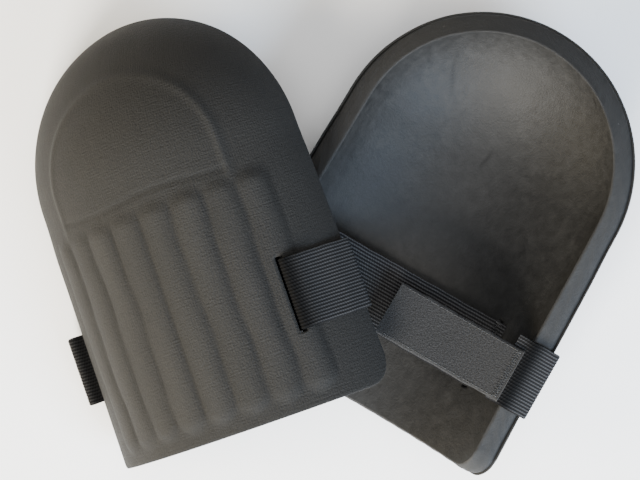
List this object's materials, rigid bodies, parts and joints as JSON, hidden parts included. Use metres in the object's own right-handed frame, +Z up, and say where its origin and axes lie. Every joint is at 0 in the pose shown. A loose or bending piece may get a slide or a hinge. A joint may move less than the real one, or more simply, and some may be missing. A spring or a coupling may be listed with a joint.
{
  "type": "foam knee pads",
  "caption": "Pair of moulded foam knee pads with ribbed kneeling faces, one lying dome up across the edge of the other, with hook-and-loop elastic straps.",
  "frame": {"origin": "centre of the bounding box at the floor the pads lie on", "axes": "+X across the pair, +Y away from the open lower ends of the pads, +Z up from the floor"},
  "size_m": [0.3226, 0.2454, 0.0966],
  "materials": {
    "facing_knit": "matte fine knit",
    "foam_charcoal": "matte closed-cell foam",
    "elastic_webbing": "ribbed weave",
    "loop_tape": "fuzzy pile",
    "hook_tape": "moulded hooks",
    "sewing_thread": "sewn thread"
  },
  "bodies": {
    "pad_b": {"pad_b_facing": "facing_knit", "pad_b_foam": "foam_charcoal", "pad_b_webbing": "elastic_webbing"},
    "pad_b_loop_end": {"pad_b_loop_webbing": "elastic_webbing", "pad_b_loop_tape": "loop_tape", "pad_b_loop_seam": "sewing_thread"},
    "pad_b_tail": {"pad_b_tail_webbing": "elastic_webbing", "pad_b_hook_tape": "hook_tape", "pad_b_tail_tack": "sewing_thread"},
    "pad_a": {"pad_a_facing": "facing_knit", "pad_a_foam": "foam_charcoal", "pad_a_webbing": "elastic_webbing"},
    "pad_a_loop_end": {"pad_a_loop_webbing": "elastic_webbing", "pad_a_loop_tape": "loop_tape", "pad_a_loop_seam": "sewing_thread"},
    "pad_a_tail": {"pad_a_tail_webbing": "elastic_webbing", "pad_a_hook_tape": "hook_tape", "pad_a_tail_tack": "sewing_thread"}
  },
  "joints": [
    {"name": "pad_a_lift", "type": "slide", "parent": "pad_b", "child": "pad_a", "axis": [0, 0, 1], "range_m": [0, 0.35]},
    {"name": "pad_b_loop_hinge", "type": "hinge", "parent": "pad_b", "child": "pad_b_loop_end", "pos_m": [0.08299, -0.12633, 0.06041], "axis": [0.4939, 0.8695, 0], "range_deg": [0, 150]},
    {"name": "pad_b_tail_hinge", "type": "hinge", "parent": "pad_b", "child": "pad_b_tail", "pos_m": [-0.01167, -0.07256, 0.0471], "axis": [-0.4939, -0.8695, 0], "range_deg": [0, 45.1]},
    {"name": "pad_a_loop_hinge", "type": "hinge", "parent": "pad_a", "child": "pad_a_loop_end", "pos_m": [0.03511, -0.06936, 0.07545], "axis": [0.3301, -0.9425, 0.0523], "range_deg": [0, 100.5]},
    {"name": "pad_a_tail_hinge", "type": "hinge", "parent": "pad_a", "child": "pad_a_tail", "pos_m": [-0.11193, -0.12464, 0.00726], "axis": [-0.3301, 0.9425, -0.0523], "range_deg": [0, 18.1]}
  ],
  "couplings": [
    {"joint": "pad_b_tail_hinge", "follows": "pad_b_loop_hinge", "ratio": 0.3},
    {"joint": "pad_a_loop_hinge", "follows": "pad_a_lift", "rad_per_m": 5},
    {"joint": "pad_a_tail_hinge", "follows": "pad_a_lift", "rad_per_m": 0.9}
  ]
}
